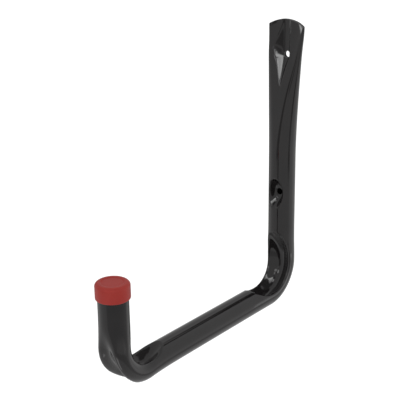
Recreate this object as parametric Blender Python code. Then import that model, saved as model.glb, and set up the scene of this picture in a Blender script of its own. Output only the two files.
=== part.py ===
"""Wall storage hook: one bent, pressed and painted steel tube with a soft cap on its upturned end.

Lengths are in metres. +Z is up, +Y points into the wall and +X is sideways. The origin lies on the
back of the tube's flattened upper end, above the upper screw hole.

The tube is one wall carried along a bent centre line. Each cross-section is a flat oval whose wall
keeps its length, so it widens as it is pressed flat. Press tools then move the wall: a flat-floored
valley in the flattened end, a dent for the lower screw's head, a pocket inside each bend and a groove
outside the lower bend.
"""

from dataclasses import dataclass

import bmesh
import bpy
import numpy as np

# Tube stock
TUBE_RADIUS = 0.0125
TUBE_WALL = 0.0012

# Bent shape, measured along centre lines
SCREW_SPACING = 0.1285
END_ABOVE_UPPER_HOLE = 0.0259
LOWER_HOLE_ABOVE_ARM = 0.0973
REACH = 0.2422
UPTURN = 0.0835
WALL_BEND_RADIUS = 0.0277
TIP_BEND_RADIUS = 0.0295
ARM_HEIGHT_RATIO = 0.926

# Flattened upper end
ORIGIN_ABOVE_UPPER_HOLE = 0.013
FLAT_LENGTH = 0.0126
ROUND_FROM = 0.1192
EDGE_RADIUS = 0.0031
END_EDGE_RADIUS = 0.0017
END_CLOSING = 0.016
PRESSED_THICKNESS = 0.0028
PRESS_SPREAD = 1.011
SLOW_SHARE = 0.75
SLOW_POWER = 1.6
BACK_STEP = 0.0039
BACK_FLAT_BELOW_HOLE = 0.008
BACK_FLAT_SHARE = 0.40
EDGE_SET_BACK = 0.0023
END_SET_BACK = 0.0017
END_CROWN = 0.0055
END_SKEW = -0.0005
END_LEAN = -0.13
CROWN_LENGTH = 0.030

# Valley pressed into the front of the flattened end
VALLEY_BELOW_HOLE = 0.0012
VALLEY_CLIMB = 0.45
VALLEY_FLOOR_HALF_WIDTH = 0.0031
VALLEY_NARROWING_LENGTH = 0.016
VALLEY_RIGHT_SLOPE = 1.9
VALLEY_LEFT_SLOPE = 1.25
VALLEY_LEFT_SLOPE_ABOVE = 0.57
VALLEY_SLOPE_CHANGE = 0.014
VALLEY_CREASE = 0.0009
VALLEY_BLEND = 0.0006

# Screw holes and the dent that takes the lower screw's head
SCREW_HOLE_RADIUS = 0.0031
DENT_DEPTH = 0.0090
DENT_HALF_WIDTH = 0.008
DENT_HALF_LENGTH = 0.0150
DENT_FLOOR_SHARE = 0.30
ANVIL_FLAT_DEPTH = 0.0008
ANVIL_FLAT_HALF_LENGTH = 0.020
ANVIL_FLAT_FADE = 0.012

# Pockets crushed into the inside of each bend, and the groove outside the lower bend
WALL_POCKET_DEPTH = 0.0146
WALL_POCKET_HALF_WIDTH = 0.0122
WALL_POCKET_UP = 0.031
WALL_POCKET_OUT = 0.0230
WALL_POCKET_FIRMNESS = 1.15
WALL_POCKET_CORNER = 2.6
TIP_POCKET_DEPTH = 0.0115
TIP_POCKET_HALF_WIDTH = 0.0112
TIP_POCKET_IN = 0.0230
TIP_POCKET_UP = 0.0200
GROOVE_DEPTH = 0.0092
GROOVE_HALF_WIDTH = 0.0096
GROOVE_FLARE = 0.4
GROOVE_FIRMNESS = 3.0
GROOVE_UP = 0.048
GROOVE_IN = 0.021
WALL_BEND_BULGE = 0.00105
WALL_BULGE_ABOVE_BEND = 0.0026
WALL_BULGE_LENGTH = 0.0157
WALL_BULGE_LEAN = 0.5
TIP_BEND_BULGE = 0.0022
TIP_BULGE_LEAN = 1.5
BEND_FADE_SHARE = 0.6
WALL_BEND_STRETCH = 0.0005

# Push-on cap
CAP_CLEARANCE = 0.0003
CAP_SIDE = 0.0013
CAP_TOP = 0.0012
CAP_GRIP = 0.01208
CAP_TOP_ROUND = 0.00295
CAP_RIM_ROUND = 0.0009
CAP_RECESS_RADIUS = 0.0098
CAP_RECESS_DEPTH = 0.0005

# Mesh fineness
POINTS_ROUND = 36
INNER_RING_SHARE = 0.5
FINE_STEP = 0.0034
COARSE_STEP = 0.022
END_FINENESS = 0.45
DENT_FINENESS = 1.8
STEP_SAMPLES = 4001
CAP_SEGMENTS = 44
CAP_TOP_STEPS = 6
CAP_RIM_STEPS = 3
HOLE_SEGMENTS = 28
HOLE_CUTTER_REACH = 2.5 * TUBE_RADIUS
SHARP_TURN = np.radians(50)

PAINT_COLOUR = (0.012, 0.011, 0.012)
PAINT_ROUGHNESS = 0.12
PAINT_COAT = 0.5
CAP_COLOUR = (0.33, 0.022, 0.018)
CAP_ROUGHNESS = 0.42

FRONT = 1
BACK = -1
QUARTER_TURN = np.pi / 2
BACK_LINE_Y = BACK_STEP
UPPER_HOLE_Z = -ORIGIN_ABOVE_UPPER_HOLE
LOWER_HOLE_Z = UPPER_HOLE_Z - SCREW_SPACING
ARM_Z = LOWER_HOLE_Z - LOWER_HOLE_ABOVE_ARM
END_Z = UPPER_HOLE_Z + END_ABOVE_UPPER_HOLE
AXIS_Y = BACK_LINE_Y - TUBE_RADIUS
TIP_Y = BACK_LINE_Y - REACH
TIP_Z = ARM_Z + UPTURN


def clear_scene():
    """Removes the objects of the scene that the script starts in."""
    for obj in list(bpy.data.objects):
        bpy.data.objects.remove(obj, do_unlink=True)


def ease(t):
    """Goes from 0 to 1 as t does, level at both ends."""
    t = np.clip(t, 0.0, 1.0)
    return t * t * (3.0 - 2.0 * t)


@dataclass(frozen=True)
class CentreLine:
    """The tube's centre line: down the wall, out along the arm, up the tip."""

    wall_leg: float = END_Z - ARM_Z - WALL_BEND_RADIUS
    wall_bend: float = QUARTER_TURN * WALL_BEND_RADIUS
    arm: float = AXIS_Y - TIP_Y - WALL_BEND_RADIUS - TIP_BEND_RADIUS
    tip_bend: float = QUARTER_TURN * TIP_BEND_RADIUS
    tip_leg: float = UPTURN - TIP_BEND_RADIUS

    @property
    def arm_start(self):
        return self.wall_leg + self.wall_bend

    @property
    def arm_end(self):
        return self.arm_start + self.arm

    @property
    def tip_start(self):
        return self.arm_end + self.tip_bend

    @property
    def length(self):
        return self.tip_start + self.tip_leg

    def frame(self, s):
        """Centre (Y, Z) and the unit direction (Y, Z) towards the inside of the hook, at each length s."""
        first = np.clip(s - self.wall_leg, 0.0, self.wall_bend) / WALL_BEND_RADIUS
        second = np.clip(s - self.arm_end, 0.0, self.tip_bend) / TIP_BEND_RADIUS
        turned = first + second
        y = AXIS_Y - WALL_BEND_RADIUS * (1.0 - np.cos(first)) - TIP_BEND_RADIUS * np.sin(second)
        y = y - np.clip(s - self.arm_start, 0.0, self.arm)
        z = END_Z - np.clip(s, 0.0, self.wall_leg) - WALL_BEND_RADIUS * np.sin(first)
        z = z + TIP_BEND_RADIUS * (1.0 - np.cos(second)) + np.clip(s - self.tip_start, 0.0, self.tip_leg)
        centre = np.stack([y, z], axis=-1)
        inward = np.stack([-np.cos(turned), np.sin(turned)], axis=-1)
        return centre, inward


LINE = CentreLine()
UPPER_HOLE_S = END_ABOVE_UPPER_HOLE
LOWER_HOLE_S = UPPER_HOLE_S + SCREW_SPACING


@dataclass(frozen=True)
class Hollow:
    """A hollow pressed into one side of the tube, with rounded ends beyond its core from start to end."""

    side: int
    start: float
    end: float
    lead_in: float
    lead_out: float
    half_width: float
    depth: float
    floor: float = 0.0
    firmness: float = 1.3
    corner: float = 2.0
    flare: float = 0.0

    def share(self, s, x):
        """How much of the full depth the wall is moved at length s and side distance x."""
        before = np.clip((self.start - s) / self.lead_in, 0.0, None)
        after = np.clip((s - self.end) / self.lead_out, 0.0, None)
        across = np.abs(x) / self.half_width / (1.0 + self.flare * after)
        far = (across**self.corner + (before + after) ** self.corner) ** (1.0 / self.corner)
        far = np.clip((far - self.floor) / (1.0 - self.floor), 0.0, 1.0)
        return (1.0 - far**2) ** self.firmness


WALL_POCKET = Hollow(
    FRONT, LINE.wall_leg, LINE.arm_start, WALL_POCKET_UP, WALL_POCKET_OUT,
    WALL_POCKET_HALF_WIDTH, WALL_POCKET_DEPTH, firmness=WALL_POCKET_FIRMNESS, corner=WALL_POCKET_CORNER,
)
TIP_POCKET = Hollow(
    FRONT, LINE.arm_end, LINE.tip_start, TIP_POCKET_IN, TIP_POCKET_UP,
    TIP_POCKET_HALF_WIDTH, TIP_POCKET_DEPTH,
)
GROOVE_MIDDLE_S = LINE.arm_end + 0.5 * LINE.tip_bend
GROOVE = Hollow(
    BACK, GROOVE_MIDDLE_S, GROOVE_MIDDLE_S, GROOVE_IN, GROOVE_UP,
    GROOVE_HALF_WIDTH, GROOVE_DEPTH, firmness=GROOVE_FIRMNESS, flare=GROOVE_FLARE,
)
DENT = Hollow(
    FRONT, LOWER_HOLE_S, LOWER_HOLE_S, DENT_HALF_LENGTH, DENT_HALF_LENGTH,
    DENT_HALF_WIDTH, DENT_DEPTH, floor=DENT_FLOOR_SHARE,
)


def soft_positive(value, width):
    """The larger of the value and nought, rounded over a width."""
    return 0.5 * (value + np.sqrt(value**2 + width**2))


def valley_depth(s, x, pinch):
    """Depth of the valley: the full pinch, less the rise of a press tool with a flat floor and sloping sides.

    The left side, towards -X, is less steep than the right one, and least of all above the upper screw
    hole. Below the hole the tool narrows and climbs out of the tube as a ramp.
    """
    past_hole = s - UPPER_HOLE_S
    past_start = soft_positive(past_hole - VALLEY_BELOW_HOLE, VALLEY_CREASE)
    floor = VALLEY_FLOOR_HALF_WIDTH * np.exp(-past_start / VALLEY_NARROWING_LENGTH)
    above = ease(0.5 - past_hole / VALLEY_SLOPE_CHANGE)
    left_slope = VALLEY_LEFT_SLOPE + (VALLEY_LEFT_SLOPE_ABOVE - VALLEY_LEFT_SLOPE) * above
    slope = np.where(x < 0.0, left_slope, VALLEY_RIGHT_SLOPE)
    sides = slope * soft_positive(np.abs(x) - floor, VALLEY_CREASE)
    return soft_positive(pinch - sides - VALLEY_CLIMB * past_start, VALLEY_BLEND)


@dataclass(frozen=True)
class Section:
    """The flat oval at each length: edge radius, half width, and where its back and its edges lie."""

    edge: np.ndarray
    half_width: np.ndarray
    back: np.ndarray
    rim: np.ndarray

    @classmethod
    def at(cls, s):
        run = np.clip((ROUND_FROM - s) / (ROUND_FROM - FLAT_LENGTH), 0.0, 1.0)
        pressed = SLOW_SHARE * run**SLOW_POWER + (1.0 - SLOW_SHARE) * ease(run)
        near_end = ease(1.0 - s / CROWN_LENGTH)
        edge = TUBE_RADIUS + (EDGE_RADIUS - TUBE_RADIUS) * pressed
        edge = edge + (END_EDGE_RADIUS - EDGE_RADIUS) * ease(1.0 - s / END_CLOSING)
        half_width = edge + QUARTER_TURN * (TUBE_RADIUS - edge) * PRESS_SPREAD
        level = UPPER_HOLE_S + BACK_FLAT_BELOW_HOLE
        back = -TUBE_RADIUS + BACK_STEP * ease((ROUND_FROM - s) / (ROUND_FROM - level))
        rim = -EDGE_SET_BACK * pressed - END_SET_BACK * near_end
        return cls(edge, half_width, back, rim)


def bend_share(s, start, length):
    """1 in the middle of a bend, fading to 0 a little way along the straight tube."""
    middle = start + 0.5 * length
    return np.exp(-(((s - middle) / (BEND_FADE_SHARE * length)) ** 2))


def wall_points(s, count, inset):
    """Points of the wall, inset from the outer skin, as an array of rings along the centre line.

    Round each ring the wall's own length is followed: a quarter circle of the edge radius, then the
    straight flat. Every hollow then moves the skin and the inner face by the same amount.
    """
    section = Section.at(s)
    edge, half_width, back, rim = (
        v[:, None] for v in (section.edge, section.half_width, section.back, section.rim)
    )
    along = s[:, None]
    angle = np.linspace(0.0, 2.0 * np.pi, count, endpoint=False)[None, :]
    sideways, outward = np.cos(angle), np.sin(angle)
    turn = np.arcsin(np.clip(np.abs(outward), 0.0, 1.0))
    radius = edge - inset
    quarter = (half_width - edge) + QUARTER_TURN * radius
    run = quarter * turn / QUARTER_TURN
    curl = np.minimum(run / radius, QUARTER_TURN)
    flat = np.maximum(run - QUARTER_TURN * radius, 0.0)
    x = np.sign(np.round(sideways, 9)) * ((half_width - edge) + radius * np.cos(curl) - flat)
    front = outward > 1e-9
    rear = outward < -1e-9
    dish = np.clip((np.abs(x) / half_width - BACK_FLAT_SHARE) / (1.0 - BACK_FLAT_SHARE), 0.0, 1.0) ** 2
    level = back + edge
    n = level + (rim - level) * dish + np.sign(outward) * (front | rear) * radius * np.sin(curl)
    n = n - front * valley_depth(along, x, 2.0 * edge - PRESSED_THICKNESS)
    arm = ease((along - LINE.wall_leg) / LINE.wall_bend) * ease((LINE.tip_start - along) / LINE.tip_bend)
    n = n * (1.0 + (ARM_HEIGHT_RATIO - 1.0) * arm)
    for hollow in (WALL_POCKET, TIP_POCKET, DENT):
        n = n - front * hollow.depth * hollow.share(along, x)
    n = n + rear * GROOVE.depth * GROOVE.share(along, x)
    anvil = ease((ANVIL_FLAT_HALF_LENGTH + ANVIL_FLAT_FADE - np.abs(along - LOWER_HOLE_S)) / ANVIL_FLAT_FADE)
    round_back = np.sqrt(np.clip(TUBE_RADIUS**2 - x**2, 0.0, None))
    n = n + rear * np.clip(round_back - TUBE_RADIUS + ANVIL_FLAT_DEPTH * anvil, 0.0, None)
    n = n - rear * WALL_BEND_STRETCH * bend_share(along, LINE.wall_leg, LINE.wall_bend) * np.abs(outward)
    bulge = TIP_BEND_BULGE * bend_share(along, LINE.arm_end, LINE.tip_bend) * (1.0 - TIP_BULGE_LEAN * outward)
    above = (along - LINE.wall_leg + WALL_BULGE_ABOVE_BEND) / WALL_BULGE_LENGTH
    bulge = bulge + WALL_BEND_BULGE * np.exp(-(above**2)) * (1.0 + WALL_BULGE_LEAN * outward)
    x = x * (1.0 + bulge / TUBE_RADIUS)
    centre, inward = LINE.frame(s)
    across = x / half_width
    crown = END_CROWN * (1.0 - across**2) * (1.0 + END_LEAN * across) + END_SKEW * across
    crown = crown * ease(1.0 - along / CROWN_LENGTH)
    y = centre[:, 0:1] + inward[:, 0:1] * n
    z = centre[:, 1:2] + inward[:, 1:2] * n + crown
    return np.stack([x, y, z], axis=-1)


def stations():
    """Lengths at which the tube gets a ring: close together where the wall is pressed or bent."""
    s = np.linspace(0.0, LINE.length, STEP_SAMPLES)
    busy = (s < ROUND_FROM) * END_FINENESS
    busy = np.maximum(busy, DENT_FINENESS * (np.abs(s - LOWER_HOLE_S) < DENT_HALF_LENGTH))
    busy = np.maximum(busy, (s > LINE.wall_leg - WALL_POCKET_UP) & (s < LINE.arm_start + WALL_POCKET_OUT))
    busy = np.maximum(busy, (s > LINE.arm_end - TIP_POCKET_IN) & (s < LINE.tip_start + TIP_POCKET_UP))
    density = 1.0 / COARSE_STEP + busy * (1.0 / FINE_STEP - 1.0 / COARSE_STEP)
    total = np.concatenate([[0.0], np.cumsum(0.5 * (density[1:] + density[:-1]) * np.diff(s))])
    rings = 2 * int(np.ceil(total[-1] / 2.0)) + 1
    return np.interp(np.linspace(0.0, total[-1], rings), total, s)


def add_rings(mesh, rings):
    """Adds the points of each ring and returns them as lists of vertices."""
    return [[mesh.verts.new(point) for point in ring] for ring in rings]


def skin(mesh, rings, flip):
    """Joins each ring to the next with four-sided faces."""
    count = len(rings[0])
    for here, after in zip(rings[:-1], rings[1:]):
        for i in range(count):
            j = (i + 1) % count
            face = (here[i], here[j], after[j], after[i])
            mesh.faces.new(face[::-1] if flip else face)


def new_object(name, mesh, material):
    """Makes an object of a finished mesh, shaded smooth up to the sharp turn."""
    bmesh.ops.recalc_face_normals(mesh, faces=mesh.faces[:])
    data = bpy.data.meshes.new(name)
    mesh.to_mesh(data)
    mesh.free()
    data.shade_smooth()
    data.set_sharp_from_angle(angle=SHARP_TURN)
    data.materials.append(material)
    obj = bpy.data.objects.new(name, data)
    bpy.context.collection.objects.link(obj)
    return obj


def make_material(name, colour, roughness, coat=0.0):
    """A Principled material of one colour."""
    material = bpy.data.materials.new(name)
    material.use_nodes = True
    shader = material.node_tree.nodes["Principled BSDF"]
    shader.inputs["Base Color"].default_value = (*colour, 1.0)
    shader.inputs["Roughness"].default_value = roughness
    shader.inputs["Coat Weight"].default_value = coat
    return material


def screw_hole_cutter(name, z):
    """A round bar along Y, long enough to cut both walls of the tube."""
    mesh = bmesh.new()
    bmesh.ops.create_cone(
        mesh, cap_ends=True, segments=HOLE_SEGMENTS,
        radius1=SCREW_HOLE_RADIUS, radius2=SCREW_HOLE_RADIUS, depth=2.0 * HOLE_CUTTER_REACH,
    )
    data = bpy.data.meshes.new(name)
    mesh.to_mesh(data)
    mesh.free()
    cutter = bpy.data.objects.new(name, data)
    cutter.location = (0.0, AXIS_Y, z)
    cutter.rotation_euler = (QUARTER_TURN, 0.0, 0.0)
    cutter.hide_render = True
    cutter.display_type = "WIRE"
    bpy.context.collection.objects.link(cutter)
    return cutter


def cut(obj, cutter):
    """Cuts the cutter's shape out of the object."""
    modifier = obj.modifiers.new(cutter.name, "BOOLEAN")
    modifier.operation = "DIFFERENCE"
    modifier.solver = "EXACT"
    modifier.object = cutter


def build_tube(paint):
    """The bent tube: an outer and an inner skin joined at both ends, with two screw holes."""
    outer_s = stations()
    inner_s = outer_s[:: round(1.0 / INNER_RING_SHARE)]
    mesh = bmesh.new()
    outer = add_rings(mesh, wall_points(outer_s, POINTS_ROUND, 0.0))
    inner = add_rings(mesh, wall_points(inner_s, POINTS_ROUND, TUBE_WALL))
    skin(mesh, outer, flip=False)
    skin(mesh, inner, flip=True)
    skin(mesh, [inner[0], outer[0]], flip=False)
    skin(mesh, [outer[-1], inner[-1]], flip=False)
    tube = new_object("hook_tube", mesh, paint)
    cut(tube, screw_hole_cutter("upper_screw_hole", UPPER_HOLE_Z))
    cut(tube, screw_hole_cutter("lower_screw_hole", LOWER_HOLE_Z))
    return tube


def arc(centre, radius, start, end, steps):
    """Points (r, z) of an arc between two angles in degrees."""
    angles = np.radians(np.linspace(start, end, steps + 1))
    return [(centre[0] + radius * np.cos(a), centre[1] + radius * np.sin(a)) for a in angles]


def cap_profile():
    """The cap's half section (r, z), from the middle of its top round to the middle of its ceiling."""
    bore = TUBE_RADIUS + CAP_CLEARANCE
    outside = bore + CAP_SIDE
    ceiling = TIP_Z + CAP_CLEARANCE
    top = ceiling + CAP_TOP
    rim = TIP_Z - CAP_GRIP
    points = [(0.0, top - CAP_RECESS_DEPTH), (0.5 * CAP_RECESS_RADIUS, top - CAP_RECESS_DEPTH)]
    points += [(CAP_RECESS_RADIUS - 2.0 * CAP_RECESS_DEPTH, top - CAP_RECESS_DEPTH), (CAP_RECESS_RADIUS, top)]
    points += arc((outside - CAP_TOP_ROUND, top - CAP_TOP_ROUND), CAP_TOP_ROUND, 90, 0, CAP_TOP_STEPS)
    points += arc((outside - CAP_RIM_ROUND, rim + CAP_RIM_ROUND), CAP_RIM_ROUND, 0, -90, CAP_RIM_STEPS)
    points += [(bore, rim), (bore, ceiling), (0.0, ceiling)]
    return points


def build_cap(plastic):
    """The push-on cap: its half section turned about the tip's axis."""
    mesh = bmesh.new()
    profile = [mesh.verts.new((r, 0.0, z)) for r, z in cap_profile()]
    edges = [mesh.edges.new(pair) for pair in zip(profile[:-1], profile[1:])]
    bmesh.ops.spin(
        mesh, geom=profile + edges, cent=(0.0, 0.0, 0.0), axis=(0.0, 0.0, 1.0),
        angle=4.0 * QUARTER_TURN, steps=CAP_SEGMENTS,
    )
    bmesh.ops.remove_doubles(mesh, verts=mesh.verts[:], dist=1e-6)
    cap = new_object("end_cap", mesh, plastic)
    cap.location = (0.0, TIP_Y, 0.0)
    return cap


def main():
    clear_scene()
    paint = make_material("gloss_black_paint", PAINT_COLOUR, PAINT_ROUGHNESS, PAINT_COAT)
    plastic = make_material("red_soft_plastic", CAP_COLOUR, CAP_ROUGHNESS)
    build_tube(paint)
    build_cap(plastic)


main()
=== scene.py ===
"""Studio scene of a wall storage hook: a bent, pressed and painted tube with a soft cap on its tip.

Lengths are in metres. +Z is up and +Y points into the wall the hook is made for. The tube and the
cap are worked out as surfaces from the same sizes as the part's solids, with far more points.
"""

import logging
from dataclasses import dataclass, field
from enum import Enum
from functools import partial

import bpy
import numpy as np
from mathutils import Matrix, Vector


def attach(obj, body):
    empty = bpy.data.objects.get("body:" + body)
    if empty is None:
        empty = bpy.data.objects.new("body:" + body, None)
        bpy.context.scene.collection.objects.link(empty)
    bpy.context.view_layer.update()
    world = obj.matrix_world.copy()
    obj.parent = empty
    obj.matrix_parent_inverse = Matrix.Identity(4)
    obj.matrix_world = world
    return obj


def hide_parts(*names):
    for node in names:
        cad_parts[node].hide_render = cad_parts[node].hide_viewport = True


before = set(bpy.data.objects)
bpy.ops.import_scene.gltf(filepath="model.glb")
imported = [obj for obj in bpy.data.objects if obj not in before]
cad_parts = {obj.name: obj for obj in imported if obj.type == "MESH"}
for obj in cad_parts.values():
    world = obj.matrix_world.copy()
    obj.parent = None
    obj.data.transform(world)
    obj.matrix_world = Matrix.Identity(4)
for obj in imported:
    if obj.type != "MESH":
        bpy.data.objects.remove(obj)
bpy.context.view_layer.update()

log = logging.getLogger("hook_scene")

QUARTER_TURN = np.pi / 2
HALF_TURN_DEGREES = 180.0
TINY = 1e-9
TINY_DECIMALS = 9

Triple = tuple[float, float, float]


class Side(Enum):
    """Which side of the tube a hollow is pressed into."""

    FRONT = 1
    BACK = -1


def ease(t: np.ndarray) -> np.ndarray:
    """Goes from 0 to 1 as t does, level at both ends: 3t^2 - 2t^3.

    Args:
        t: Any values; they are clipped to 0..1 first.

    Returns:
        The eased values.
    """
    t = np.clip(t, 0.0, 1.0)
    return t * t * (3.0 - 2.0 * t)


def grid_faces(rows: int, columns: int, start: int = 0, flip: bool = False) -> np.ndarray:
    """Four-sided faces of a grid whose columns close on themselves.

    Args:
        rows: Number of rings.
        columns: Points in a ring.
        start: Index of the grid's first point.
        flip: Turns the faces over.

    Returns:
        Point indices, four a row.
    """
    row, column = np.meshgrid(np.arange(rows - 1), np.arange(columns), indexing="ij")
    after = (column + 1) % columns
    here = start + row * columns
    above = here + columns
    quads = np.stack([here + column, here + after, above + after, above + column], axis=-1)
    quads = quads.reshape(-1, 4)
    return quads[:, ::-1] if flip else quads


def bridge_faces(first: np.ndarray, second: np.ndarray) -> np.ndarray:
    """Four-sided faces between two closed rings with the same number of points.

    Args:
        first: Point indices of one ring.
        second: Point indices of the other ring.

    Returns:
        Point indices, four a row.
    """
    return np.stack([first, np.roll(first, -1), np.roll(second, -1), second], axis=-1)


def mesh_object(
    name: str, points: np.ndarray, faces: np.ndarray, sharp_angle: float
) -> bpy.types.Object:
    """Puts points and four-sided faces into a new mesh object at the origin.

    Args:
        name: The object's name.
        points: Positions, three a row.
        faces: Point indices, four a row.
        sharp_angle: Edges that turn by more than this, in degrees, stay sharp.

    Returns:
        The new object, smooth shaded.
    """
    mesh = bpy.data.meshes.new(name)
    mesh.vertices.add(len(points))
    mesh.vertices.foreach_set("co", points.astype(np.float32).ravel())
    mesh.loops.add(faces.size)
    mesh.loops.foreach_set("vertex_index", faces.astype(np.int32).ravel())
    mesh.polygons.add(len(faces))
    mesh.polygons.foreach_set("loop_start", np.arange(0, faces.size, 4, dtype=np.int32))
    mesh.update(calc_edges=True)
    mesh.validate()
    mesh.shade_smooth()
    mesh.set_sharp_from_angle(angle=np.radians(sharp_angle))
    piece = bpy.data.objects.new(name, mesh)
    bpy.context.collection.objects.link(piece)
    return piece


def applied_copy(piece: bpy.types.Object) -> None:
    """Replaces an object's mesh by what its modifiers make of it, and removes the modifiers.

    Args:
        piece: The object to change.
    """
    evaluated = piece.evaluated_get(bpy.context.evaluated_depsgraph_get())
    mesh = bpy.data.meshes.new_from_object(evaluated)
    old = piece.data
    piece.modifiers.clear()
    piece.data = mesh
    mesh.name = piece.name
    bpy.data.meshes.remove(old)


def math_node(
    tree: bpy.types.NodeTree, operation: str, *values: bpy.types.NodeSocket | float
) -> bpy.types.NodeSocket:
    """Adds a math node to a node tree and feeds it.

    Args:
        tree: The tree to add to.
        operation: What the node works out.
        values: What it works on, in order: outputs of other nodes, or numbers.

    Returns:
        The node's result.
    """
    node = tree.nodes.new("ShaderNodeMath")
    node.operation = operation
    for socket, value in zip(node.inputs, values):
        if isinstance(value, (int, float)):
            socket.default_value = value
        else:
            tree.links.new(value, socket)
    return node.outputs[0]


@dataclass(frozen=True)
class Stock:
    """The tube as bought."""

    radius: float = 0.0125
    wall: float = 0.0012


@dataclass(frozen=True)
class Bends:
    """The hook's bent shape, along centre lines."""

    axis_y: float = -0.0086
    end_z: float = 0.0129
    arm_z: float = -0.2388
    tip_y: float = -0.2383
    upturn: float = 0.0835
    wall_radius: float = 0.0277
    tip_radius: float = 0.0295

    @property
    def wall_leg(self) -> float:
        """Length of the straight part on the wall."""
        return self.end_z - self.arm_z - self.wall_radius

    @property
    def wall_bend(self) -> float:
        """Length round the bend at the wall."""
        return QUARTER_TURN * self.wall_radius

    @property
    def arm_start(self) -> float:
        """Length at which the arm's straight part starts."""
        return self.wall_leg + self.wall_bend

    @property
    def arm(self) -> float:
        """Length of the arm's straight part."""
        return self.axis_y - self.tip_y - self.wall_radius - self.tip_radius

    @property
    def arm_end(self) -> float:
        """Length at which the arm's straight part ends."""
        return self.arm_start + self.arm

    @property
    def tip_bend(self) -> float:
        """Length round the bend at the tip."""
        return QUARTER_TURN * self.tip_radius

    @property
    def tip_start(self) -> float:
        """Length at which the straight tip starts."""
        return self.arm_end + self.tip_bend

    @property
    def length(self) -> float:
        """Length of the whole centre line."""
        return self.tip_start + self.upturn - self.tip_radius

    @property
    def tip_z(self) -> float:
        """Height of the tip's open end."""
        return self.arm_z + self.upturn

    def frame(self, s: np.ndarray) -> tuple[np.ndarray, np.ndarray]:
        """The centre line: down, a quarter circle out, straight, a quarter circle up, straight.

        Args:
            s: Lengths along the centre line.

        Returns:
            The centre (Y, Z), and the unit direction (Y, Z) towards the inside of the hook.
        """
        first = np.clip(s - self.wall_leg, 0.0, self.wall_bend) / self.wall_radius
        second = np.clip(s - self.arm_end, 0.0, self.tip_bend) / self.tip_radius
        turned = first + second
        y = self.axis_y - self.wall_radius * (1.0 - np.cos(first))
        y = y - self.tip_radius * np.sin(second)
        y = y - np.clip(s - self.arm_start, 0.0, self.arm)
        z = self.end_z - np.clip(s, 0.0, self.wall_leg) - self.wall_radius * np.sin(first)
        z = z + self.tip_radius * (1.0 - np.cos(second)) + np.clip(s - self.tip_start, 0.0, None)
        return np.stack([y, z], axis=-1), np.stack([-np.cos(turned), np.sin(turned)], axis=-1)


@dataclass(frozen=True)
class Hollow:
    """A hollow pressed into one side of the tube, with rounded ends beyond its core.

    The core runs from start to end along the centre line, and the rounded ends over the lengths
    that lead in and out. The floor is the share of its width that stays flat, a higher firmness
    eases its rim, a higher corner squares its outline, and the flare widens it as it leads out.
    """

    side: Side
    start: float
    end: float
    lead_in: float
    lead_out: float
    half_width: float
    depth: float
    floor: float = 0.0
    firmness: float = 1.3
    corner: float = 2.0
    flare: float = 0.0

    def share(self, s: np.ndarray, x: np.ndarray) -> np.ndarray:
        """Share of the full depth: (1 - far^2)^firmness.

        Far is the superellipse distance from the core, 0 on the hollow's floor and 1 at its rim.

        Args:
            s: Lengths along the centre line.
            x: Distances to the side.

        Returns:
            Values from 0 outside the hollow to 1 on its floor.
        """
        before = np.clip((self.start - s) / self.lead_in, 0.0, None)
        after = np.clip((s - self.end) / self.lead_out, 0.0, None)
        across = np.abs(x) / self.half_width / (1.0 + self.flare * after)
        far = (across**self.corner + (before + after) ** self.corner) ** (1.0 / self.corner)
        far = np.clip((far - self.floor) / (1.0 - self.floor), 0.0, 1.0)
        return (1.0 - far**2) ** self.firmness


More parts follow.
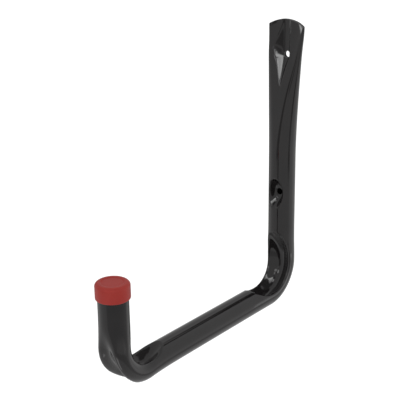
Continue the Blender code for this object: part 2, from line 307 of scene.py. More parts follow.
@dataclass(frozen=True)
class Pressing:
    """What the press does to the tube: the flattened end, the hollows and the bends' swelling."""

    # Screw holes
    upper_hole_z: float = -0.0130
    lower_hole_z: float = -0.1415
    hole_radius: float = 0.0031

    # Flattened end
    flat_length: float = 0.0126
    round_from: float = 0.1192
    slow_share: float = 0.75
    slow_power: float = 1.6
    edge_radius: float = 0.0031
    end_edge_radius: float = 0.0017
    end_closing: float = 0.016
    pressed_thickness: float = 0.0028
    spread: float = 1.011
    back_step: float = 0.0039
    back_flat_below_hole: float = 0.008
    back_flat_share: float = 0.40
    edge_set_back: float = 0.0023
    end_set_back: float = 0.0017
    end_crown: float = 0.0055
    end_skew: float = -0.0005
    end_lean: float = -0.13
    crown_length: float = 0.030

    # Valley pressed into the flattened end's front
    valley_below_hole: float = 0.0012
    valley_climb: float = 0.45
    valley_floor: float = 0.0031
    valley_narrowing: float = 0.016
    valley_right_slope: float = 1.9
    valley_left_slope: float = 1.25
    valley_left_slope_above: float = 0.57
    valley_slope_change: float = 0.014
    valley_crease: float = 0.0009
    valley_blend: float = 0.0006

    # Flat that the anvil leaves behind the dent
    anvil_depth: float = 0.0008
    anvil_half_length: float = 0.020
    anvil_fade: float = 0.012

    # Swelling and stretching at the bends, and the arm between them
    wall_bulge: float = 0.00105
    wall_bulge_above_bend: float = 0.0026
    wall_bulge_length: float = 0.0157
    wall_bulge_lean: float = 0.5
    tip_bulge: float = 0.0022
    tip_bulge_lean: float = 1.5
    wall_stretch: float = 0.0005
    bend_fade_share: float = 0.6
    arm_height_ratio: float = 0.926

    def hollows(self, bends: Bends) -> dict[str, Hollow]:
        """Places the pressed hollows along the centre line.

        Args:
            bends: The bent shape that they lie on.

        Returns:
            The hollows by name.
        """
        lower = bends.end_z - self.lower_hole_z
        middle = bends.arm_end + 0.5 * bends.tip_bend
        return {
            "dent": Hollow(
                side=Side.FRONT, start=lower, end=lower, lead_in=0.0150, lead_out=0.0150,
                half_width=0.0080, depth=0.0090, floor=0.30,
            ),
            "wall_pocket": Hollow(
                side=Side.FRONT, start=bends.wall_leg, end=bends.arm_start,
                lead_in=0.0310, lead_out=0.0230, half_width=0.0122, depth=0.0146,
                firmness=1.15, corner=2.6,
            ),
            "tip_pocket": Hollow(
                side=Side.FRONT, start=bends.arm_end, end=bends.tip_start,
                lead_in=0.0230, lead_out=0.0200, half_width=0.0112, depth=0.0115,
            ),
            "groove": Hollow(
                side=Side.BACK, start=middle, end=middle, lead_in=0.0210, lead_out=0.0480,
                half_width=0.0096, depth=0.0092, firmness=3.0, flare=0.4,
            ),
        }


@dataclass
class TubeSurface:
    """The tube's skins as functions of the length along it and the angle round it."""

    stock: Stock = field(default_factory=Stock)
    bends: Bends = field(default_factory=Bends)
    pressing: Pressing = field(default_factory=Pressing)

    def section(self, s: np.ndarray) -> tuple[np.ndarray, np.ndarray, np.ndarray, np.ndarray]:
        """The flat oval at each length: pressing tightens its edges and keeps its wall's length.

        Args:
            s: Lengths along the centre line.

        Returns:
            Edge radius, half width, and where the back and the edges lie, each a column.
        """
        form, radius = self.pressing, self.stock.radius
        run = np.clip((form.round_from - s) / (form.round_from - form.flat_length), 0.0, 1.0)
        pressed = form.slow_share * run**form.slow_power + (1.0 - form.slow_share) * ease(run)
        edge = radius + (form.edge_radius - radius) * pressed
        edge = edge + (form.end_edge_radius - form.edge_radius) * ease(1.0 - s / form.end_closing)
        half_width = edge + QUARTER_TURN * (radius - edge) * form.spread
        level = self.bends.end_z - form.upper_hole_z + form.back_flat_below_hole
        back = -radius + form.back_step * ease((form.round_from - s) / (form.round_from - level))
        rim = -form.edge_set_back * pressed - form.end_set_back * ease(1.0 - s / form.crown_length)
        return edge[:, None], half_width[:, None], back[:, None], rim[:, None]

    def hollowed(
        self, n: np.ndarray, s: np.ndarray, x: np.ndarray, front: np.ndarray
    ) -> np.ndarray:
        """Moves the skin inwards by the depth of each hollow times its share there.

        Args:
            n: Distances towards the inside of the hook.
            s: Lengths along the centre line.
            x: Distances to the side.
            front: True on the side that faces the inside of the hook.

        Returns:
            The moved distances.
        """
        for hollow in self.pressing.hollows(self.bends).values():
            on_side = front if hollow.side is Side.FRONT else ~front
            n = n - hollow.side.value * on_side * hollow.depth * hollow.share(s, x)
        return n

    def points(self, s: np.ndarray, count: int, inset: float) -> np.ndarray:
        """Points of a skin: round each ring a quarter circle of the edge radius, then the flat.

        The flat oval is dished at its edges, pinched along the valley, hollowed, and swollen at the
        bends.

        Args:
            s: Lengths along the centre line.
            count: Points round each ring.
            inset: Distance of this skin inside the outer one.

        Returns:
            Positions as rings by points by three.
        """
        form, bends, radius = self.pressing, self.bends, self.stock.radius
        edge, half_width, back, rim = self.section(s)
        along = s[:, None]

        # The flat oval: across it, and out from its middle line
        angle = np.linspace(0.0, 2.0 * np.pi, count, endpoint=False)[None, :]
        sideways, outward = np.cos(angle), np.sin(angle)
        turn = np.arcsin(np.clip(np.abs(outward), 0.0, 1.0))
        curve = edge - inset
        quarter = (half_width - edge) + QUARTER_TURN * curve
        run = quarter * turn / QUARTER_TURN
        curl = np.minimum(run / curve, QUARTER_TURN)
        flat = np.maximum(run - QUARTER_TURN * curve, 0.0)
        x = half_width - edge + curve * np.cos(curl) - flat
        x = np.sign(np.round(sideways, TINY_DECIMALS)) * x
        front = outward > TINY
        rear = outward < -TINY
        dish = (np.abs(x) / half_width - form.back_flat_share) / (1.0 - form.back_flat_share)
        dish = np.clip(dish, 0.0, 1.0) ** 2
        level = back + edge
        n = level + (rim - level) * dish + np.sign(outward) * (front | rear) * curve * np.sin(curl)

        # What the press does: the valley, the oval arm, the hollows and the anvil's flat
        n = n - front * self.valley(along, x, 2.0 * edge - form.pressed_thickness)
        on_arm = ease((along - bends.wall_leg) / bends.wall_bend)
        on_arm = on_arm * ease((bends.tip_start - along) / bends.tip_bend)
        n = n * (1.0 + (form.arm_height_ratio - 1.0) * on_arm)
        n = np.where(front | rear, self.hollowed(n, along, x, front), n)
        lower = bends.end_z - form.lower_hole_z
        anvil = form.anvil_half_length + form.anvil_fade - np.abs(along - lower)
        anvil = ease(anvil / form.anvil_fade)
        round_back = np.sqrt(np.clip(radius**2 - x**2, 0.0, None))
        n = n + rear * np.clip(round_back - radius + form.anvil_depth * anvil, 0.0, None)

        # What bending does to it
        near_wall = self.near_bend(along, bends.wall_leg, bends.wall_bend)
        n = n - rear * form.wall_stretch * near_wall * np.abs(outward)
        bulge = form.tip_bulge * self.near_bend(along, bends.arm_end, bends.tip_bend)
        bulge = bulge * (1.0 - form.tip_bulge_lean * outward)
        above = (along - bends.wall_leg + form.wall_bulge_above_bend) / form.wall_bulge_length
        lean = 1.0 + form.wall_bulge_lean * outward
        bulge = bulge + form.wall_bulge * np.exp(-(above**2)) * lean
        x = x * (1.0 + bulge / radius)

        # The uneven cut at the top, and the way along the centre line
        across = x / half_width
        crown = form.end_crown * (1.0 - across**2) * (1.0 + form.end_lean * across)
        crown = crown + form.end_skew * across
        crown = crown * ease(1.0 - along / form.crown_length)
        centre, inward = bends.frame(s)
        y = centre[:, 0:1] + inward[:, 0:1] * n
        z = centre[:, 1:2] + inward[:, 1:2] * n + crown
        return np.stack([x, y, z], axis=-1)

    def valley(self, s: np.ndarray, x: np.ndarray, pinch: np.ndarray) -> np.ndarray:
        """Depth of the valley in the flattened end: the full pinch less the tool's sloping sides.

        The tool has a flat floor and sides that rise evenly from it, less steeply on the left,
        towards -X, and least of all above the screw hole. Below the hole it narrows and climbs out
        of the tube as a ramp. The depth is cut off at 0 by a soft maximum.

        Args:
            s: Lengths along the centre line.
            x: Distances to the side.
            pinch: Depth that brings the front wall down onto the back one.

        Returns:
            The depths.
        """
        form = self.pressing
        past_hole = s - (self.bends.end_z - form.upper_hole_z)
        past_start = self.soft_positive(past_hole - form.valley_below_hole, form.valley_crease)
        floor = form.valley_floor * np.exp(-past_start / form.valley_narrowing)
        above = ease(0.5 - past_hole / form.valley_slope_change)
        easing = form.valley_left_slope_above - form.valley_left_slope
        slope = np.where(x < 0.0, form.valley_left_slope + easing * above, form.valley_right_slope)
        sides = slope * self.soft_positive(np.abs(x) - floor, form.valley_crease)
        depth = pinch - sides - form.valley_climb * past_start
        return self.soft_positive(depth, form.valley_blend)

    @staticmethod
    def soft_positive(value: np.ndarray, width: float) -> np.ndarray:
        """The larger of v and 0, rounded over a width w: half of (v + the root of v^2 + w^2)."""
        return 0.5 * (value + np.sqrt(value**2 + width**2))

    def near_bend(self, s: np.ndarray, start: float, length: float) -> np.ndarray:
        """1 in the middle of a bend, fading along the straight tube as a bell curve."""
        fade = self.pressing.bend_fade_share * length
        return np.exp(-(((s - start - 0.5 * length) / fade) ** 2))


@dataclass(frozen=True)
class Finish:
    """A finish whose colour and roughness drift over the surface, with a fine ripple as bump."""

    slot: str
    colour: Triple
    thin_colour: Triple
    roughness: float
    roughness_spread: float
    ripple_size: float
    ripple_height: float
    ior: float
    specular_level: float

    def build(self) -> bpy.types.Material:
        """Makes the material: a Principled shader fed by the shared surface group.

        Returns:
            The material, named after its slot.
        """
        material = bpy.data.materials.new(self.slot)
        material.use_nodes = True
        nodes, links = material.node_tree.nodes, material.node_tree.links
        shader = nodes["Principled BSDF"]
        shader.inputs["Metallic"].default_value = 0.0
        shader.inputs["IOR"].default_value = self.ior
        shader.inputs["Specular IOR Level"].default_value = self.specular_level
        group = nodes.new("ShaderNodeGroup")
        group.node_tree = MottledSurface.group()
        group.inputs["Colour"].default_value = (*self.colour, 1.0)
        group.inputs["Thin Colour"].default_value = (*self.thin_colour, 1.0)
        group.inputs["Roughness"].default_value = self.roughness
        group.inputs["Roughness Spread"].default_value = self.roughness_spread
        group.inputs["Ripple Scale"].default_value = 1.0 / self.ripple_size
        bump = nodes.new("ShaderNodeBump")
        bump.inputs["Distance"].default_value = self.ripple_height
        links.new(group.outputs["Height"], bump.inputs["Height"])
        links.new(bump.outputs["Normal"], shader.inputs["Normal"])
        links.new(group.outputs["Colour"], shader.inputs["Base Color"])
        links.new(group.outputs["Roughness"], shader.inputs["Roughness"])
        return material


@dataclass(frozen=True)
class GlossPaint(Finish):
    """Gloss black paint over steel: a dark coat with the faint ripple of sprayed paint."""

    slot: str = "gloss_black_paint"
    colour: Triple = (0.006, 0.0055, 0.006)
    thin_colour: Triple = (0.012, 0.0105, 0.0105)
    roughness: float = 0.06
    roughness_spread: float = 0.03
    ripple_size: float = 0.0016
    ripple_height: float = 0.000012
    ior: float = 1.5
    specular_level: float = 0.5


@dataclass(frozen=True)
class SoftPlastic(Finish):
    """Moulded soft plastic: satin, slightly mottled, with a fine grain."""

    slot: str = "red_soft_plastic"
    colour: Triple = (0.285, 0.013, 0.008)
    thin_colour: Triple = (0.32, 0.022, 0.014)
    roughness: float = 0.42
    roughness_spread: float = 0.08
    ripple_size: float = 0.0009
    ripple_height: float = 0.00002
    ior: float = 1.48
    specular_level: float = 0.38


class MottledSurface:
    """The node group both finishes share: colour and roughness drift, and a ripple's height."""

    NAME = "mottled_surface"
    DRIFT_SCALE = 60.0
    DRIFT_DETAIL = 3.0
    DRIFT_MIDDLE = 0.5
    RIPPLE_DETAIL = 2.0

    @classmethod
    def group(cls) -> bpy.types.NodeTree:
        """Builds the group once, or finds it.

        Returns:
            The node group, with its inputs and outputs named.
        """
        if cls.NAME in bpy.data.node_groups:
            return bpy.data.node_groups[cls.NAME]
        tree = bpy.data.node_groups.new(cls.NAME, "ShaderNodeTree")
        for name, way, kind in (
            ("Colour", "INPUT", "NodeSocketColor"),
            ("Thin Colour", "INPUT", "NodeSocketColor"),
            ("Roughness", "INPUT", "NodeSocketFloat"),
            ("Roughness Spread", "INPUT", "NodeSocketFloat"),
            ("Ripple Scale", "INPUT", "NodeSocketFloat"),
            ("Colour", "OUTPUT", "NodeSocketColor"),
            ("Roughness", "OUTPUT", "NodeSocketFloat"),
            ("Height", "OUTPUT", "NodeSocketFloat"),
        ):
            tree.interface.new_socket(name=name, in_out=way, socket_type=kind)
        nodes, links = tree.nodes, tree.links
        given = nodes.new("NodeGroupInput").outputs
        result = nodes.new("NodeGroupOutput").inputs
        place = nodes.new("ShaderNodeTexCoord")
        drift = nodes.new("ShaderNodeTexNoise")
        drift.inputs["Scale"].default_value = cls.DRIFT_SCALE
        drift.inputs["Detail"].default_value = cls.DRIFT_DETAIL
        fine = nodes.new("ShaderNodeTexNoise")
        fine.inputs["Detail"].default_value = cls.RIPPLE_DETAIL
        blend = nodes.new("ShaderNodeMix")
        blend.data_type = "RGBA"
        links.new(place.outputs["Object"], drift.inputs["Vector"])
        links.new(place.outputs["Object"], fine.inputs["Vector"])
        links.new(given["Ripple Scale"], fine.inputs["Scale"])
        links.new(drift.outputs["Fac"], blend.inputs["Factor"])
        links.new(given["Colour"], blend.inputs["A"])
        links.new(given["Thin Colour"], blend.inputs["B"])
        centred = math_node(tree, "SUBTRACT", drift.outputs["Fac"], cls.DRIFT_MIDDLE)
        spread = math_node(
            tree, "MULTIPLY_ADD", centred, given["Roughness Spread"], given["Roughness"]
        )
        links.new(blend.outputs["Result"], result["Colour"])
        links.new(spread, result["Roughness"])
        links.new(fine.outputs["Fac"], result["Height"])
        return tree


@dataclass
class HookTube:
    """The painted steel tube, with its two screw holes."""

    surface: TubeSurface = field(default_factory=TubeSurface)
    finish: GlossPaint = field(default_factory=GlossPaint)
    outer_rings: int = 430
    inner_rings: int = 150
    points_round: int = 144
    step_samples: int = 4001
    busy_density: float = 3.0
    dent_fineness: float = 1.6
    dent_reach: float = 0.018
    bend_fineness: float = 1.3
    wall_bend_reach: tuple[float, float] = (0.036, 0.028)
    tip_bend_reach: tuple[float, float] = (0.030, 0.030)
    sharp_angle: float = 45.0
    hole_segments: int = 64
    drill_reach_in_radii: float = 2.5

    def stations(self, rings: int) -> np.ndarray:
        """Spaces the rings, four or more times as close where the tube is pressed or bent.

        Args:
            rings: Number of rings.

        Returns:
            Their lengths along the centre line.
        """
        bends, form = self.surface.bends, self.surface.pressing
        s = np.linspace(0.0, bends.length, self.step_samples)
        busy = (s < form.round_from).astype(float)
        lower = bends.end_z - form.lower_hole_z
        busy = np.maximum(busy, self.dent_fineness * (np.abs(s - lower) < self.dent_reach))
        for start, end, (before, after) in (
            (bends.wall_leg, bends.arm_start, self.wall_bend_reach),
            (bends.arm_end, bends.tip_start, self.tip_bend_reach),
        ):
            near = (s > start - before) & (s < end + after)
            busy = np.maximum(busy, self.bend_fineness * near)
        density = 1.0 + self.busy_density * busy
        total = np.cumsum(0.5 * (density[1:] + density[:-1]) * np.diff(s))
        total = np.concatenate([[0.0], total])
        return np.interp(np.linspace(0.0, total[-1], rings), total, s)

    def build(self) -> bpy.types.Object:
        """Joins the outer and inner skins at both ends, cuts the holes and dresses the tube.

        Returns:
            The finished tube.
        """
        stock = self.surface.stock
        count = self.points_round
        outer = self.surface.points(self.stations(self.outer_rings), count, 0.0)
        inner = self.surface.points(self.stations(self.inner_rings), count, stock.wall)
        outer_size = self.outer_rings * count
        last = outer_size + (self.inner_rings - 1) * count
        ring = np.arange(count)
        faces = np.concatenate([
            grid_faces(self.outer_rings, count),
            grid_faces(self.inner_rings, count, start=outer_size, flip=True),
            bridge_faces(outer_size + ring, ring),
            bridge_faces(outer_size - count + ring, last + ring),
        ])
        points = np.concatenate([outer.reshape(-1, 3), inner.reshape(-1, 3)])
        tube = mesh_object("painted_tube", points, faces, self.sharp_angle)
        form = self.surface.pressing
        self.drill(tube, (form.upper_hole_z, form.lower_hole_z))
        tube.data.materials.clear()
        tube.data.materials.append(self.finish.build())
        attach(tube, "root")
        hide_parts("hook_tube")
        return tube

    def drill(self, tube: bpy.types.Object, heights: tuple[float, ...]) -> None:
        """Cuts round holes along Y through both walls: a circle carried along a straight line.

        Args:
            tube: The object to cut.
            heights: Height of each hole.
        """
        radius, count = self.surface.pressing.hole_radius, self.hole_segments
        reach = self.drill_reach_in_radii * self.surface.stock.radius
        angle = np.linspace(0.0, 2.0 * np.pi, count, endpoint=False)
        cutters = []
        for z in heights:
            x, height = radius * np.cos(angle), z + radius * np.sin(angle)
            circles = [np.stack([x, np.full_like(x, y), height], axis=-1) for y in (-reach, reach)]
            sides = bridge_faces(np.arange(count), count + np.arange(count))[:, ::-1]
            lids = [list(range(count)), list(range(count, 2 * count))[::-1]]
            mesh = bpy.data.meshes.new("drill")
            mesh.from_pydata(np.concatenate(circles).tolist(), [], sides.tolist() + lids)
            cutter = bpy.data.objects.new("drill", mesh)
            bpy.context.collection.objects.link(cutter)
            modifier = tube.modifiers.new("drill", "BOOLEAN")
            modifier.operation = "DIFFERENCE"
            modifier.solver = "EXACT"
            modifier.object = cutter
            cutters.append(cutter)
        bpy.context.view_layer.update()
        applied_copy(tube)
        for cutter in cutters:
            mesh = cutter.data
            bpy.data.objects.remove(cutter, do_unlink=True)
            bpy.data.meshes.remove(mesh)


@dataclass
class TipCap:
    """The soft cap pushed over the tip: a half section turned about the tip's axis."""

    surface: TubeSurface = field(default_factory=TubeSurface)
    finish: SoftPlastic = field(default_factory=SoftPlastic)
    clearance: float = 0.0003
    side: float = 0.0013
    top: float = 0.0012
    grip: float = 0.01208
    top_round: float = 0.00295
    rim_round: float = 0.0009
    recess_radius: float = 0.0098
    recess_depth: float = 0.0005
    recess_slope: float = 2.0
    pole_radius: float = 0.0002
    segments: int = 160
    recess_points: int = 14
    slope_points: int = 8
    top_steps: int = 16
    rim_steps: int = 8
    sharp_angle: float = 50.0

    @staticmethod
    def arc(
        centre: tuple[float, float], radius: float, start: float, end: float, steps: int
    ) -> np.ndarray:
        """Points (r, z) of a circle's arc from one angle to another, in degrees."""
        angle = np.radians(np.linspace(start, end, steps + 1))
        return np.array(centre) + radius * np.stack([np.cos(angle), np.sin(angle)], axis=-1)

    def profile(self) -> np.ndarray:
        """The half section, from the middle of the top round to the middle of the ceiling.

        Returns:
            Its points (r, z), two a row.
        """
        bore = self.surface.stock.radius + self.clearance
        outside = bore + self.side
        ceiling = self.surface.bends.tip_z + self.clearance
        top = ceiling + self.top
        rim = self.surface.bends.tip_z - self.grip
        floor = top - self.recess_depth
        inner = self.recess_radius - self.recess_slope * self.recess_depth
        dish = np.linspace(self.pole_radius, inner, self.recess_points)
        slope = np.linspace(0.0, 1.0, self.slope_points)[1:]
        slope_r = inner + (self.recess_radius - inner) * slope
        slope_z = floor + self.recess_depth * ease(slope)
        top_centre = (outside - self.top_round, top - self.top_round)
        rim_centre = (outside - self.rim_round, rim + self.rim_round)
        return np.concatenate([
            np.stack([dish, np.full_like(dish, floor)], axis=-1),
            np.stack([slope_r, slope_z], axis=-1),
            self.arc(top_centre, self.top_round, 90.0, 0.0, self.top_steps),
            self.arc(rim_centre, self.rim_round, 0.0, -90.0, self.rim_steps),
            np.array([[bore, rim], [bore, ceiling], [self.pole_radius, ceiling]]),
        ])

    def build(self) -> bpy.types.Object:
        """Turns the half section, closes both poles and dresses the cap.

        Returns:
            The finished cap.
        """
        profile = self.profile()
        rings, count = len(profile), self.segments
        angle = np.linspace(0.0, 2.0 * np.pi, count, endpoint=False)
        x = profile[:, :1] * np.cos(angle)
        y = self.surface.bends.tip_y + profile[:, :1] * np.sin(angle)
        z = np.broadcast_to(profile[:, 1:], x.shape)
        points = np.stack([x, y, z], axis=-1).reshape(-1, 3)
        faces = grid_faces(rings, count, flip=True).tolist()
        lids = [list(range(count)), list(range((rings - 1) * count, rings * count))[::-1]]
        mesh = bpy.data.meshes.new("tip_cap")
        mesh.from_pydata(points.tolist(), [], faces + lids)
        mesh.shade_smooth()
        mesh.set_sharp_from_angle(angle=np.radians(self.sharp_angle))
        cap = bpy.data.objects.new("tip_cap", mesh)
        bpy.context.collection.objects.link(cap)
        mesh.materials.append(self.finish.build())
        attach(cap, "root")
        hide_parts("end_cap")
        return cap


@dataclass(frozen=True)
class Patch:
    """A soft-edged part of the surroundings with its own brightness. Angles are in degrees."""

    azimuth: float
    elevation: float
    half_azimuth: float
    half_elevation: float
    edge: float
    strength: float


@dataclass(frozen=True)
class Panel:
    """A flat thing that only gloss shows, by its direction from its target, in degrees."""

    name: str
    azimuth: float
    elevation: float
    half_azimuth: float
    half_elevation: float
    target: Triple
    distance: float

    def placed(self) -> tuple[Matrix, float, float]:
        """Works out where the panel stands and how large it is.

        Returns:
            The matrix that puts it there, facing its target, and its width and height.
        """
        azimuth, elevation = np.radians(self.azimuth), np.radians(self.elevation)
        level = np.cos(elevation)
        away = np.array([np.sin(azimuth) * level, -np.cos(azimuth) * level, np.sin(elevation)])
        centre = np.array(self.target) + self.distance * away
        turn = Vector((-away).tolist()).to_track_quat("-Z", "Y").to_matrix().to_4x4()
        width = 2.0 * self.distance * np.tan(np.radians(self.half_azimuth))
        height = 2.0 * self.distance * np.tan(np.radians(self.half_elevation))
        return Matrix.Translation(centre.tolist()) @ turn, width, height


@dataclass(frozen=True)
class SoftBox(Panel):
    """A rectangular lamp. A glow of 1 is white paper.

    Its light fans out by the spread, and fades from full on its axis to none at the fan's edge.
    """

    glow: float
    spread: float


@dataclass(frozen=True)
class Flag(Panel):
    """A dark card whose edges fade out from its core, a share of its half width and height."""

    darkness: float
    core: float = 0.35


@dataclass
class Studio:
    """The camera, with its angles in radians, the lamps, the floor and the pale surroundings."""

    azimuth: float = 0.690
    elevation: float = 0.336
    roll: float = -0.016
    distance: float = 0.809509
    aim: Triple = (0.0, -0.1161, -0.1388)
    shift_right: float = -0.0093
    shift_up: float = 0.016689
    lens: float = 84.596
    sensor_width: float = 36.0
    clip_start: float = 0.01
    floor_z: float = -0.62
    floor_half: float = 6.0
    floor_grey: float = 0.9
    floor_roughness: float = 0.9
    floor_glow: float = 0.25
    gloss_strength: float = 0.70

    # Azimuth, elevation, half azimuth, half elevation, edge and strength
    patches: tuple[Patch, ...] = (
        Patch(85.0, 62.0, 70.0, 14.0, 6.0, 0.18),
        Patch(148.0, 20.0, 25.0, 28.0, 8.0, 0.80),
        Patch(-140.0, 18.0, 16.0, 14.0, 6.0, 0.52),
        Patch(-164.0, 42.5, 4.5, 3.0, 2.0, 0.10),
        Patch(-112.0, 0.0, 12.0, 45.0, 8.0, 0.36),
        Patch(8.0, -50.0, 17.0, 11.0, 5.0, 1.9),
        Patch(70.0, -27.0, 75.0, 4.0, 3.0, 0.48),
        Patch(130.0, -12.0, 25.0, 7.0, 4.0, 0.88),
        Patch(-9.0, -6.0, 8.0, 9.0, 3.0, 0.25),
        Patch(92.0, -8.0, 7.0, 8.5, 2.0, 0.20),
        Patch(-3.0, 26.0, 8.0, 4.5, 2.0, 3.6),
        Patch(6.0, 12.0, 3.0, 2.5, 1.5, 1.6),
        Patch(28.0, 22.0, 9.0, 2.5, 2.0, 2.6),
        Patch(34.0, 31.0, 6.0, 2.5, 1.5, 2.4),
        Patch(29.0, 57.0, 9.0, 4.0, 2.0, 3.5),
    )

    # Name, azimuth, elevation, half azimuth, half elevation, target and distance
    lamps: tuple[SoftBox, ...] = (
        SoftBox(
            "key_softbox", 56.5, 32.5, 14.5, 12.5, (-0.006, -0.010, -0.022), 0.42,
            glow=7.4, spread=60.0,
        ),
        SoftBox(
            "bend_softbox", 125.0, -21.0, 8.0, 9.0, (0.0, -0.020, -0.212), 0.12,
            glow=1.5, spread=50.0,
        ),
        SoftBox(
            "corner_softbox", -66.0, -1.0, 6.5, 5.5, (0.0155, -0.0050, 0.0115), 0.04,
            glow=5.0, spread=28.0,
        ),
    )
    flags: tuple[Flag, ...] = (
        Flag("top_flag", 20.0, -10.5, 11.0, 6.0, (0.0, -0.005, 0.008), 0.30, darkness=0.60),
        Flag("hole_flag", 36.0, 5.0, 12.0, 11.0, (0.0, -0.005, 0.008), 0.30, darkness=0.50),
        Flag("rim_flag", -99.0, -58.0, 26.0, 12.0, (0.0, -0.030, -0.185), 0.12, darkness=0.70),
    )

    def axes(self) -> tuple[np.ndarray, np.ndarray, np.ndarray]:
        """The camera's axes, turned by its roll.

        Returns:
            Its right, up and back directions.
        """
        a, e, r = self.azimuth, self.elevation, self.roll
        back = np.array([np.sin(a) * np.cos(e), -np.cos(a) * np.cos(e), np.sin(e)])
        right = np.array([np.cos(a), np.sin(a), 0.0])
        up = np.cross(back, right)
        return np.cos(r) * right + np.sin(r) * up, -np.sin(r) * right + np.cos(r) * up, back

    def add_camera(self) -> None:
        """Places the camera at the photograph's viewing angle."""
        right, up, back = self.axes()
        centre = np.array(self.aim) + back * self.distance
        centre = centre + right * self.shift_right + up * self.shift_up
        data = bpy.data.cameras.new("camera")
        data.lens = self.lens
        data.sensor_width = self.sensor_width
        data.clip_start = self.clip_start
        camera = bpy.data.objects.new("camera", data)
        columns = np.column_stack([right, up, back, centre])
        camera.matrix_world = Matrix([*columns.tolist(), [0.0, 0.0, 0.0, 1.0]])
        bpy.context.collection.objects.link(camera)
        bpy.context.scene.camera = camera

    def add_floor(self) -> None:
        """A wide pale floor well under the hook."""
        half, grey = self.floor_half, self.floor_grey
        corners = [(-half, -half), (half, -half), (half, half), (-half, half)]
        mesh = bpy.data.meshes.new("floor")
        mesh.from_pydata([(x, y, self.floor_z) for x, y in corners], [], [(0, 1, 2, 3)])
        floor = bpy.data.objects.new("floor", mesh)
        bpy.context.collection.objects.link(floor)
        material = bpy.data.materials.new("pale_floor")
        material.use_nodes = True
        nodes, links = material.node_tree.nodes, material.node_tree.links
        shader = nodes["Principled BSDF"]
        shader.inputs["Base Color"].default_value = (grey, grey, grey, 1.0)
        shader.inputs["Roughness"].default_value = self.floor_roughness
        shader.inputs["Emission Color"].default_value = (1.0, 1.0, 1.0, 1.0)
        seen = nodes.new("ShaderNodeLightPath").outputs["Is Camera Ray"]
        glow = math_node(material.node_tree, "MULTIPLY", seen, self.floor_glow)
        links.new(glow, shader.inputs["Emission Strength"])
        mesh.materials.append(material)
        floor.visible_glossy = False

    def add_lamp(self, lamp: SoftBox) -> None:
        """Adds a soft box that faces the hook and shows in its gloss.

        A spread lamp is 1 / (1 - h / tan h) times as bright on its axis, with h half the spread, so
        its power is glow x pi x area x (1 - h / tan h).

        Args:
            lamp: Where it stands, how large it is and how bright it looks.
        """
        place, width, height = lamp.placed()
        data = bpy.data.lights.new(lamp.name, "AREA")
        data.shape = "RECTANGLE"
        data.size = width
        data.size_y = height
        half = np.radians(0.5 * lamp.spread)
        data.spread = 2.0 * half
        data.energy = lamp.glow * np.pi * width * height * (1.0 - half / np.tan(half))
        piece = bpy.data.objects.new(lamp.name, data)
        piece.matrix_world = place
        piece.visible_camera = False
        piece.visible_diffuse = False
        bpy.context.collection.objects.link(piece)

    def add_flag(self, flag: Flag) -> None:
        """Adds a black card, clear towards its edges, that only the gloss of the paint shows.

        Args:
            flag: Where it stands and how large it is.
        """
        place, width, height = flag.placed()
        half_x, half_y = 0.5 * width, 0.5 * height
        corners = [(-half_x, -half_y), (half_x, -half_y), (half_x, half_y), (-half_x, half_y)]
        mesh = bpy.data.meshes.new(flag.name)
        mesh.from_pydata([(x, y, 0.0) for x, y in corners], [], [(0, 1, 2, 3)])
        card = bpy.data.objects.new(flag.name, mesh)
        card.matrix_world = place
        bpy.context.collection.objects.link(card)
        material = bpy.data.materials.new(flag.name)
        material.use_nodes = True
        nodes, links = material.node_tree.nodes, material.node_tree.links
        nodes.clear()
        spot = nodes.new("ShaderNodeTexCoord")
        scale = nodes.new("ShaderNodeMapping")
        scale.inputs["Scale"].default_value = (1.0 / half_x, 1.0 / half_y, 1.0)
        reach = nodes.new("ShaderNodeVectorMath")
        reach.operation = "LENGTH"
        ramp = nodes.new("ShaderNodeMapRange")
        ramp.interpolation_type = "SMOOTHSTEP"
        ramp.inputs["From Min"].default_value = 1.0
        ramp.inputs["From Max"].default_value = flag.core
        ramp.inputs["To Max"].default_value = flag.darkness
        clear = nodes.new("ShaderNodeBsdfTransparent")
        dark = nodes.new("ShaderNodeEmission")
        dark.inputs["Color"].default_value = (0.0, 0.0, 0.0, 1.0)
        mix = nodes.new("ShaderNodeMixShader")
        output = nodes.new("ShaderNodeOutputMaterial")
        links.new(spot.outputs["Object"], scale.inputs["Vector"])
        links.new(scale.outputs["Vector"], reach.inputs[0])
        links.new(reach.outputs["Value"], ramp.inputs["Value"])
        links.new(ramp.outputs["Result"], mix.inputs["Fac"])
        links.new(clear.outputs["BSDF"], mix.inputs[1])
        links.new(dark.outputs["Emission"], mix.inputs[2])
        links.new(mix.outputs["Shader"], output.inputs["Surface"])
        mesh.materials.append(material)
        card.visible_camera = False
        card.visible_diffuse = False
        card.visible_shadow = False

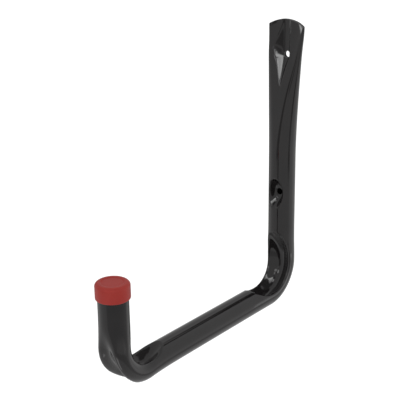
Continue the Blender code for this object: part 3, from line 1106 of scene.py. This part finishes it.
    def add_world(self) -> None:
        """White surroundings, which gloss shows dimmer and with darker and lighter parts."""
        world = bpy.data.worlds.new("surroundings")
        bpy.context.scene.world = world
        world.use_nodes = True
        nodes, links = world.node_tree.nodes, world.node_tree.links
        background = nodes["Background"]
        background.inputs["Color"].default_value = (1.0, 1.0, 1.0, 1.0)
        place = nodes.new("ShaderNodeTexCoord")
        part = nodes.new("ShaderNodeSeparateXYZ")
        links.new(place.outputs["Generated"], part.inputs["Vector"])
        math = partial(math_node, world.node_tree)
        ahead = math("MULTIPLY", part.outputs["Y"], -1.0)
        azimuth = math("DEGREES", math("ARCTAN2", part.outputs["X"], ahead))
        elevation = math("DEGREES", math("ARCSINE", part.outputs["Z"]))
        strength: bpy.types.NodeSocket | float = self.gloss_strength
        for patch in self.patches:
            turned = math("SUBTRACT", azimuth, patch.azimuth)
            turned = math("WRAP", turned, HALF_TURN_DEGREES, -HALF_TURN_DEGREES)
            raised = math("SUBTRACT", elevation, patch.elevation)
            cover: bpy.types.NodeSocket | float = 1.0
            for offset, half in ((turned, patch.half_azimuth), (raised, patch.half_elevation)):
                ramp = nodes.new("ShaderNodeMapRange")
                ramp.interpolation_type = "SMOOTHSTEP"
                ramp.inputs["From Min"].default_value = half + patch.edge
                ramp.inputs["From Max"].default_value = half
                links.new(math("ABSOLUTE", offset), ramp.inputs["Value"])
                cover = math("MULTIPLY", ramp.outputs["Result"], cover)
            step = math("SUBTRACT", patch.strength, strength)
            strength = math("MULTIPLY_ADD", cover, step, strength)
        path = nodes.new("ShaderNodeLightPath")
        mix = nodes.new("ShaderNodeMix")
        mix.data_type = "FLOAT"
        mix.inputs["A"].default_value = 1.0
        links.new(strength, mix.inputs["B"])
        links.new(path.outputs["Is Glossy Ray"], mix.inputs["Factor"])
        links.new(mix.outputs["Result"], background.inputs["Strength"])

    def build(self) -> None:
        """Adds everything that surrounds the object."""
        self.add_camera()
        self.add_floor()
        self.add_world()
        for lamp in self.lamps:
            self.add_lamp(lamp)
        for flag in self.flags:
            self.add_flag(flag)
        bpy.context.scene.view_settings.view_transform = "Standard"


def main() -> None:
    """Builds the tube, the cap and the studio in order, and reports each."""
    logging.basicConfig(level=logging.INFO, format="%(name)s: %(message)s")
    surface = TubeSurface()
    for maker in (HookTube(surface=surface), TipCap(surface=surface)):
        piece = maker.build()
        log.info("%s: %d faces", piece.name, len(piece.data.polygons))
    Studio().build()
    log.info("studio ready")


if __name__ == "__main__":
    main()
